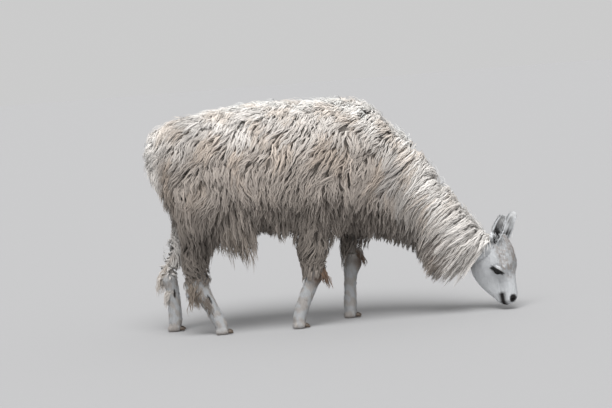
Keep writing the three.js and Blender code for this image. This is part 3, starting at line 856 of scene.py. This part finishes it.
def strands(guides, beside, phases, size, waves, per_lock, segments, spread, thickness, wave_length):
    """Closed three-sided strands, several to a guide, drawn together at its tip. Returns their points and
    softened normals, their triangles, and for each point which lock it belongs to, which corner of its
    ring it is, and how far along it lies."""
    s = np.array(STATIONS.get(segments, np.linspace(0, 1, segments + 1)))
    centre, normal, total = placed(guides, beside, s)
    n = len(centre)
    tangent = unit(np.gradient(centre, axis=1))
    across = unit(np.cross(tangent, normal))
    soft = SOFTNESS * np.linalg.norm(normal, axis=2)[:, None, :, None]
    normal = np.cross(across, tangent)
    size, phases, waves = size[:, None, None], phases[:, None, None], waves[:, None, None]
    turn = rng.random((n, per_lock, 1)) * 2 * math.pi
    out = spread * size * np.sqrt(rng.random((n, per_lock, 1))) * (1 - 0.72 * s**1.3)
    swing = waves * np.minimum(1, 3 * s)
    run = 2 * math.pi * total[:, None, None] * s / wave_length + phases
    shift_across = out * np.cos(turn) + swing * np.sin(run + 0.8 * np.cos(turn))
    shift_out = 0.7 * out * np.sin(turn) + 0.6 * swing * np.cos(run + 0.8 * np.sin(turn))
    line = centre[:, None] + across[:, None] * shift_across[..., None]
    line = line + normal[:, None] * shift_out[..., None]
    shortened = 1 - 0.28 * rng.random((n, per_lock, 1, 1))
    line = line[:, :, :1] + (line - line[:, :, :1]) * shortened
    thick = thickness * size * rng.uniform(0.75, 1.25, (n, per_lock, 1))
    radius = thick * (0.62 + 0.38 * np.sin(math.pi * np.minimum(1, 1.1 * s)))
    spin = rng.random((n, per_lock, 1)) * 2 * math.pi
    corners, facings = [], []
    for k in range(3):
        angle = spin + k * 2 * math.pi / 3
        offset = across[:, None] * np.cos(angle)[..., None]
        offset = offset + 0.7 * normal[:, None] * np.sin(angle)[..., None]
        corners.append((line + offset * radius[..., None])[:, :, :-1])
        facings.append(unit(soft * normal[:, None] + (1 - soft) * offset)[:, :, :-1])
    ring_shape = (n * per_lock, segments * 3, 3)
    rings, ring_facings = (np.stack(part, 3).reshape(ring_shape) for part in (corners, facings))
    tips = line[:, :, -1].reshape(-1, 1, 3)
    tip_facings = np.repeat(normal[:, -1:], per_lock, 0)
    points = np.concatenate([rings, tips], 1)
    one = [(0, 1, 2)]
    for ring in range(segments - 1):
        for k in range(3):
            a, b = 3 * ring + k, 3 * ring + (k + 1) % 3
            one += [(b, a, b + 3), (b + 3, a, a + 3)]
    last = 3 * (segments - 1)
    one += [(last + (k + 1) % 3, last + k, 3 * segments) for k in range(3)]
    faces = np.array(one) + (np.arange(len(points)) * points.shape[1])[:, None, None]
    owner = np.repeat(np.arange(n), per_lock * points.shape[1])
    corner = np.tile(np.append(np.tile((0.0, 0.5, 1.0), segments), 0.5), n * per_lock)
    along = np.tile(np.append(np.repeat(s[:-1], 3), 1.0), n * per_lock)
    facing = np.concatenate([ring_facings, tip_facings], 1)
    return points.reshape(-1, 3), facing.reshape(-1, 3), faces.reshape(-1, 3), owner, corner, along


def layout_places(roots):
    """Where roots on the skin lie on its flat layout."""
    feet, _, within = skin.nearest(roots)
    a, b, c = (skin_points[skin_faces[within, k]] for k in range(3))
    whole = np.cross(b - a, c - a)
    area = np.maximum(np.sum(whole * whole, 1), 1e-18)
    share_b = np.clip(np.sum(np.cross(feet - a, c - a) * whole, 1) / area, 0, 1)[:, None]
    share_c = np.clip(np.sum(np.cross(b - a, feet - a) * whole, 1) / area, 0, 1)[:, None]
    flat = layout[within]
    return flat[:, 0] * (1 - share_b - share_c) + flat[:, 1] * share_b + flat[:, 2] * share_c


def grow(name, slot, finish, locks, per_lock, segments, spread, thickness, wave_length=WAVE_LENGTH):
    """Strands on the locks' guides, as pieces small enough each to be handled alone."""
    guides, beside, phases, size, waves, tints = locks
    places = layout_places(guides[:, 0])
    per_piece = PIECE_FACES // (per_lock * (6 * segments - 2))
    count = math.ceil(len(guides) / per_piece)
    for k, some in enumerate(np.array_split(np.arange(len(guides)), count)):
        drawn = [part[some] for part in (guides, beside, phases, size, waves)]
        made = strands(*drawn, per_lock, segments, spread, thickness, wave_length)
        points, facing, faces, owner, corner, along = made
        title = f"{name}_{k + 1}"
        mesh = new_mesh(title, points, faces)
        mesh.normals_split_custom_set_from_vertices(facing)
        painted(mesh, tints[some][owner])
        patch = places[some][owner] + PATCH * (np.stack([corner, along], 1) - 0.5)
        flat = patch[faces.ravel()].astype(np.float32).ravel()
        mesh.uv_layers.new(name=LAYOUT).uv.foreach_set("vector", flat)
        mesh.materials.append(finish.material)
        piece = new_piece(title, mesh)
        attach(piece, "root")


TOP_LOCK = 0.085  # lengths: along the back and crest,
SIDE_LOCK = 0.115  # high on the sides,
LOW_LOCK = 0.075  # and how much more they have low on the sides,
FOLD_LOCK = 0.10  # in the flank's fold
THROAT_LOCK = 0.085  # and under the throat
LEG_LOCK = 0.03  # at the least, low on the legs


def wool_length(places, normals):
    """How long the locks are, by place and by the way the hide faces there."""
    x, y, z = places.T
    top = smooth_step(0.35, 0.9, normals[:, 2])
    low = smooth_step(0.95, 0.6, z)
    side = SIDE_LOCK + LOW_LOCK * low - 0.03 * smooth_step(0.35, 0.65, x)
    side += FOLD_LOCK * low * hump(x + 0.44, 0.07)
    side += THROAT_LOCK * hump(x - 0.60, 0.11) * smooth_step(0.42, 0.30, z)
    body = side * (1 - top) + TOP_LOCK * top
    leg_end = np.where(x > MID_BELLY, 0.26, 0.30)
    left_hind = smooth_step(0.0, 0.06, y) * (x < -0.6)
    on_leg = 0.035 + 0.75 * np.maximum(z - leg_end, 0) - 0.03 * left_hind
    return np.where(x > NECK_START, body, np.minimum(body, np.maximum(on_leg, LEG_LOCK)))


def gathered(guides, groups, share):
    """Neighbouring guides drawn together towards their tips, group by group."""
    count = np.maximum(np.bincount(groups), 1)[:, None]
    sums = np.stack([np.bincount(groups, column) for column in guides.reshape(len(guides), -1).T], 1)
    means = (sums / count).reshape(-1, *guides.shape[1:])
    pull = share[:, None, None] * np.linspace(0, 1, guides.shape[1])[None, :, None] ** 1.2
    return guides + (means[groups] - guides) * pull


wool = Finish("wool", Roughness=0.8, Specular_IOR_Level=0.2)
wool.feed("Base Color", wool.shaded(wool.tint(), 0.9 + 0.2 * wool.noise(160, 2)))
wool.feed("Roughness", 0.7 + 0.2 * wool.noise(90, 1))

roots = scattered(LOCK_SPACING, woolly)
_, root_normals, _ = skin.nearest(roots)
tuft_centres = scattered(TUFT_SPACING, woolly)
groups = ((roots[:, None] - tuft_centres) ** 2).sum(2).argmin(1)
of_tuft = rng.normal(0, 1, (5, len(tuft_centres)))[:, groups]
own = rng.normal(0, 1, (5, len(roots)))
on_neck = smooth_step(*NECK_EDGE, roots[:, 0])
lengths = wool_length(roots, root_normals) * (1 + 0.16 * of_tuft[0] + 0.08 * own[0])
depth = np.clip(outside.gap(roots), LEAST_COAT, MOST_COAT)
on_top = smooth_step(0.2, 0.7, root_normals[:, 2])
relief = 1 - 0.45 * on_top
heights = depth * np.clip(0.92 + 0.05 * on_top + relief * (0.12 * of_tuft[1] + 0.07 * own[1]), 0.5, 1.25)
leans = (0.19 * of_tuft[2] + 0.12 * own[2]) * (1 - 0.6 * on_neck) * relief
guides, beside = march(roots, lengths, heights, leans, comb, GUIDE_POINTS, ROOT_DEPTH)
on_leg = smooth_step(0.52, 0.42, roots[:, 2]) * (1 - on_neck)
guides = gathered(guides, groups, (0.40 - 0.25 * on_neck - 0.15 * on_top) * (1 - 0.9 * on_leg))
size = np.clip(1 + 0.12 * own[3], 0.7, 1.4)
waves = LOCK_WAVE * (1 - 0.35 * on_neck) * (1 - 0.5 * on_leg) * rng.uniform(0.6, 1.4, len(roots))
waves = waves * np.minimum(1, lengths / 0.09) ** 2
phases = 2 * math.pi * of_tuft[4] + 0.5 * own[4]
tints = wool_tint(roots) * np.clip(1 + 0.05 * of_tuft[3] + 0.03 * own[3], 0.8, 1.07)[:, None]
fleece = (guides, beside, phases, size, waves, tints)
neck, long = on_neck > 0.5, lengths > LONG_LOCK
for name, chosen, per_lock, segments, spread, thickness in (
    ("fleece_neck", neck & long, 6, 6, 0.0105, 0.0016),
    ("fleece_long", ~neck & long, 5, 6, 0.0082, 0.0020),
    ("fleece_short", ~long, 7, 3, 0.0086, 0.0019),
):
    locks = [part[chosen] for part in fleece]
    grow(name, "fleece", wool, locks, per_lock, segments, spread, thickness)


def topmost(places):
    """How thickly wisps stand: along the back, the crest of the neck and the tail's outer side."""
    normals = skin.nearest(places)[1]
    behind = smooth_step(-0.74, -0.82, places[:, 0]) * smooth_step(0.3, 0.8, -normals[:, 0])
    return np.maximum(smooth_step(0.45, 0.8, normals[:, 2]), behind) * woolly(places)


# Single wisps stand proud of the fleece where the light catches its edge.
WISP_SPACING = 0.018
WISP_STRAY = 0.018
WISP_WAVE = 0.004
roots = scattered(WISP_SPACING, topmost)
count = len(roots)
heights = outside.gap(roots) + rng.uniform(0.002, 0.014, count)
lengths = rng.uniform(0.06, 0.10, count)
leans = rng.normal(0, 0.35, count)
guides, beside = march(roots, lengths, heights, leans, comb, GUIDE_POINTS, ROOT_DEPTH, WISP_STRAY)
# The wisps are painted a little lighter than the fleece: painted highlight where the light catches them.
tints = np.minimum(wool_tint(roots) * 1.05, 0.95)
phases = rng.uniform(*ANY_PHASE, count)
locks = (guides, beside, phases, np.ones(count), np.full(count, WISP_WAVE), tints)
look = {"per_lock": 2, "segments": 6, "spread": 0.006, "thickness": 0.0009, "wave_length": 0.06}
grow("wisps", "fleece", wool, locks, **look)


# ---- Hanging tufts ----
# Behind the hocks, on the front knees and in the folds of the flanks the hair hangs in single long tufts,
# browner than the rest. Each fans from its root on the hide to a ragged tip.
TUFT_TAN = np.array((0.42, 0.345, 0.275))
TUFT_POINTS = 8
TUFT_SOFTNESS = 0.4  # as HANGING_SOFTNESS
HANGING = (  # root, tip, half width, locks, brownness
    ((-0.705, -0.125, 0.300), (-0.735, -0.125, 0.105), 0.034, 44, 0.45),
    ((-0.690, -0.115, 0.235), (-0.690, -0.118, 0.115), 0.026, 26, 0.55),
    ((-0.655, -0.130, 0.185), (-0.632, -0.130, 0.085), 0.016, 14, 0.10),
    ((-0.860, 0.108, 0.335), (-0.908, 0.108, 0.172), 0.030, 36, 0.40),
    ((-0.850, 0.100, 0.210), (-0.878, 0.104, 0.120), 0.018, 16, 0.25),
    ((-0.085, -0.130, 0.300), (-0.050, -0.128, 0.190), 0.026, 26, 0.80),
    ((0.120, 0.105, 0.335), (0.152, 0.110, 0.250), 0.022, 18, 0.80),
    ((-0.553, -0.170, 0.540), (-0.536, -0.178, 0.385), 0.042, 30, 0.10),
    ((-0.510, -0.170, 0.540), (-0.482, -0.178, 0.335), 0.042, 36, 0.14),
    ((-0.468, -0.170, 0.540), (-0.428, -0.178, 0.295), 0.040, 36, 0.14),
    ((-0.427, -0.170, 0.540), (-0.400, -0.178, 0.345), 0.038, 30, 0.08),
    ((-0.553, 0.170, 0.540), (-0.536, 0.178, 0.390), 0.042, 22, 0.1),
    ((-0.510, 0.170, 0.540), (-0.482, 0.178, 0.342), 0.042, 26, 0.1),
    ((-0.468, 0.170, 0.540), (-0.428, 0.178, 0.304), 0.040, 26, 0.1),
    ((-0.427, 0.170, 0.540), (-0.407, 0.178, 0.360), 0.038, 20, 0.1),
)
hanging = []
for root, tip, half_width, count, brownness in HANGING:
    around = rng.normal(0, 0.5, (count, 3)) * (1, 0.6, 1)
    starts, normals, _ = skin.nearest(np.array(root) + half_width * around)
    ends = np.array(tip) + half_width * rng.normal(0, 0.55, (count, 3)) * (1, 0.6, 0.6)
    ends = starts + (ends - starts) * rng.uniform(0.45, 1.05, (count, 1))
    s = np.linspace(0, 1, TUFT_POINTS)[:, None]
    out = normals[:, None] * (0.25 * half_width * np.sin(math.pi * s))
    line = starts[:, None] * (1 - s) + ends[:, None] * s + out
    line[:, :, :2] += (ends - starts)[:, None, :2] * (0.25 * np.sin(math.pi * s))
    brown = KNEE_BROWN * 1.4 if brownness > 0.6 else TUFT_TAN
    tint = blend(wool_tint(starts) * 1.1, brown, brownness * rng.uniform(0.4, 1.6, count))
    drawn = (rng.uniform(*ANY_PHASE, count), np.ones(count), rng.uniform(0.003, 0.009, count))
    beside = np.repeat(TUFT_SOFTNESS * normals[:, None], TUFT_POINTS, 1)
    hanging.append((line, beside, *drawn, tint))
locks = [np.concatenate(parts) for parts in zip(*hanging)]
look = {"per_lock": 4, "segments": 6, "spread": 0.0085, "thickness": 0.0016, "wave_length": 0.05}
grow("tufts", "fleece", wool, locks, **look)


# ---- Short hair ----
# The face, ears, shanks and feet have short flat hair: fine tapered tufts a few millimetres proud of the
# hide, lying back from the nose, up the ears and down the legs.
HAIR_SPACING = 0.0058
HAIR_POINTS = 4
HAIR_ROOT_DEPTH = 0.001
LEG_HAIR_TOP = 0.40
HEAD_HAIR_BACK = 0.60


def on_legs_or_head(places):
    return (places[:, 2] < LEG_HAIR_TOP) | (places[:, 0] > HEAD_HAIR_BACK)


def short_way(places, normals):
    """Which way the short hair lies: from the nose to the poll and up the ears, and down the legs."""
    head = is_head(places)[:, None]
    way = -head_axes[:, 0] * head + np.array((0, 0, -1.0)) * (1 - head)
    return unit(way - normals * np.sum(way * normals, 1, keepdims=True))


def short_haired(places):
    """How thickly short hair grows: not under the fleece, on lids, lips and nostrils, in the ears' hollows
    or on the soles."""
    bare = hide_tint(places).max(1) < 0.05
    _, normals, _ = skin.nearest(places)
    buried = (outside.gap(places) > 0.02) & (places[:, 0] < HEAD_HAIR_BACK)
    bare |= ear_marks(to_head(places))[1] * is_head(places) > 0.02
    return (1 - woolly(places)) * ~bare * (normals[:, 2] > -0.8) * ~buried


roots = scattered(HAIR_SPACING, short_haired, on_legs_or_head)
count = len(roots)
head = is_head(roots)
along, _, up = to_head(roots).T
forehead = smooth_step(0.02, 0.06, up) * smooth_step(0.24, 0.12, along) * head
fringe = ear_marks(to_head(roots))[2] * head
behind = smooth_step(0.050, 0.015, (roots - POLL) @ FACE_WAY) * head  # next to the fleece
lengths = 0.017 - 0.006 * head + 0.014 * forehead + 0.006 * fringe + 0.016 * behind
lengths *= rng.uniform(0.75, 1.3, count)
heights = 0.0050 - 0.0024 * head + 0.0075 * forehead + 0.002 * fringe + 0.4 * outside.gap(roots) * behind
heights *= rng.uniform(0.6, 1.15, count)
leans = rng.normal(0, 0.22, count)
guides, beside = march(roots, lengths, heights, leans, short_way, HAIR_POINTS, HAIR_ROOT_DEPTH)
tints = hide_tint(roots) * rng.uniform(0.9, 1.1, count)[:, None]
locks = (guides, beside, np.zeros(count), rng.uniform(0.8, 1.25, count), np.zeros(count), tints)
look = {"per_lock": 1, "segments": 2, "spread": 0.0004, "thickness": 0.0010}
grow("short_hair", "short_hair", wool, locks, **look)


# ---- Eyes ----
# Large dark balls with a bulging clear front over a brown iris, which shows a wide level pupil, set behind
# the lids. Long black lashes droop from the upper lids.
BULGE = 0.0012  # of the clear front
IRIS = 0.62  # half angle seen from the ball's middle
PUPIL = (0.42, 0.20)  # half angles along the slit and across it
BALL_BROWN = np.array((0.030, 0.022, 0.018))
IRIS_BROWN = np.array((0.024, 0.012, 0.007))
PUPIL_BLACK = np.array((0.003, 0.003, 0.004))
LASHES = 60
LASH_SPAN = (-1.18, 1.12)  # along the slit, as angles
LASH_LENGTH = 0.022
LASH_BLACK = 0.010
LASH_POINTS = 6
eye_finish = Finish("eye", Roughness=0.12, Coat_Weight=1.0, Coat_Roughness=0.03)
eye_finish.feed("Base Color", eye_finish.shaded(eye_finish.tint(), 0.7 + 0.6 * eye_finish.noise(300, 2)))
lash_finish = Finish("lashes", Roughness=0.7, Specular_IOR_Level=0.1)
lash_finish.feed("Base Color", lash_finish.tint())
for side, name in ((-1, "right"), (1, "left")):
    middle, outward, slit, above = eye_frame(side)
    ball = bmesh.new()
    bmesh.ops.create_icosphere(ball, subdivisions=4, radius=1.0)
    mesh = bpy.data.meshes.new("eyeball_" + name)
    ball.to_mesh(mesh)
    ball.free()
    rays, faces = corners_and_faces(mesh)
    ahead = np.arccos(np.clip(rays @ outward, -1, 1))
    radius = (EYE_RADIUS - BULGE) + BULGE * smooth_step(0.75, 0.2, ahead)
    sideways = np.arctan2(rays @ slit, rays @ outward) / PUPIL[0]
    upwards = np.arctan2(rays @ above, rays @ outward) / PUPIL[1]
    in_iris = smooth_step(IRIS + 0.04, IRIS - 0.04, ahead)
    in_pupil = smooth_step(1.1, 0.9, np.hypot(sideways, upwards)) * (ahead < 1.2)
    tints = blend(BALL_BROWN + 0 * rays, IRIS_BROWN, in_iris)
    tints = blend(tints, PUPIL_BLACK, in_pupil)
    mesh = new_mesh("eyeball_" + name, from_head(middle + rays * radius[:, None]), faces)
    painted(mesh, tints)
    mesh.materials.append(eye_finish.material)
    eyeball = new_piece("eyeball_" + name, mesh)
    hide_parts("eye_" + name)
    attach(eyeball, "root")

    at = np.linspace(*LASH_SPAN, LASHES)
    lift = SLIT_RISE * (1 - (at / SLIT_HALF) ** 2) + 0.05
    rays = unit(outward + np.tan(np.clip(at, -1.3, 1.3))[:, None] * slit + np.tan(lift)[:, None] * above)
    starts = middle + rays * (EYE_RADIUS + LID_RIM)
    reach = (LASH_LENGTH + 0.006 * smooth_step(0.3, -1.0, at)) * rng.uniform(0.8, 1.15, LASHES)
    droop = unit(rays * 0.8 - above * 1.0 + slit * (0.35 * at)[:, None])
    s = np.linspace(0, 1, LASH_POINTS)[:, None]
    line = starts[:, None] + droop[:, None] * (reach[:, None, None] * s) + above * (0.005 * s**2)
    line = from_head(line)
    beside = np.repeat((rays @ head_axes.T)[:, None], LASH_POINTS, 1)
    tints = np.full((LASHES, 3), LASH_BLACK)
    locks = (line, beside, np.zeros(LASHES), np.ones(LASHES), np.zeros(LASHES), tints)
    look = {"per_lock": 3, "segments": 4, "spread": 0.0014, "thickness": 0.0010}
    grow("lashes_" + name, "eye", lash_finish, locks, **look)


# ---- Toenails ----
# Two pointed nails of dark horn to each foot, ridged along their length, set in the ends of the toes.
NAIL_CELL = 0.0012
DARK_HORN = (0.05, 0.035, 0.025, 1)
PALE_HORN = (0.16, 0.12, 0.09, 1)
horn = Finish("horn")
ridges = horn.noise(120, 3, (0.2, 1, 1))
brown = horn.node("ShaderNodeMix", {"data_type": "RGBA"}, {0: ridges, 6: DARK_HORN, 7: PALE_HORN}, 2)
grooves = horn.node("ShaderNodeBump", {}, {"Strength": 0.4, "Distance": 0.001, "Height": ridges})
horn.feed("Base Color", brown)
horn.feed("Roughness", 0.35 + 0.3 * ridges)
horn.feed("Normal", grooves)
for name in [name for name in frame["nodes"] if name.startswith("nail")]:
    points, faces = remeshed(solids(name), NAIL_CELL)
    points = relaxed(points, faces, 4)
    points[:, 2] = np.maximum(points[:, 2], 0.0005)
    mesh = new_mesh("toe" + name, points, faces)
    mesh.materials.append(horn.material)
    toenail = new_piece("toe" + name, mesh)
    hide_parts(name)
    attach(toenail, "root")


# ---- Floor and light ----
# A plain pale floor without edges in view, under an even bright surround and one wide soft lamp overhead.
FLOOR_HALF = 60
FLOOR_TINT = (0.375, 0.375, 0.38, 1)
SURROUND = 0.60
LAMP_STRENGTH = 3.3
LAMP_SPREAD = math.radians(40)
LAMP_WAY = Vector((0.05, 0.50, -1.0))
corners = [(x * FLOOR_HALF, y * FLOOR_HALF, 0) for x, y in ((-1, -1), (1, -1), (1, 1), (-1, 1))]
ground = bpy.data.meshes.new("floor")
ground.from_pydata(corners, [], [(0, 1, 2, 3)])
paint = Finish("floor", Roughness=0.9, Base_Color=FLOOR_TINT)
ground.materials.append(paint.material)
floor = new_piece("floor", ground)

world = bpy.data.worlds.new("studio")
world.use_nodes = True
world.node_tree.nodes["Background"].inputs["Color"].default_value = (1, 1, 1, 1)
world.node_tree.nodes["Background"].inputs["Strength"].default_value = SURROUND
bpy.context.scene.world = world
bpy.context.scene.view_settings.view_transform = "Standard"

lamp = bpy.data.lights.new("overhead", "SUN")
lamp.energy = LAMP_STRENGTH
lamp.angle = LAMP_SPREAD
overhead = bpy.data.objects.new("overhead", lamp)
overhead.rotation_euler = LAMP_WAY.to_track_quat("-Z", "Y").to_euler()
bpy.context.scene.collection.objects.link(overhead)
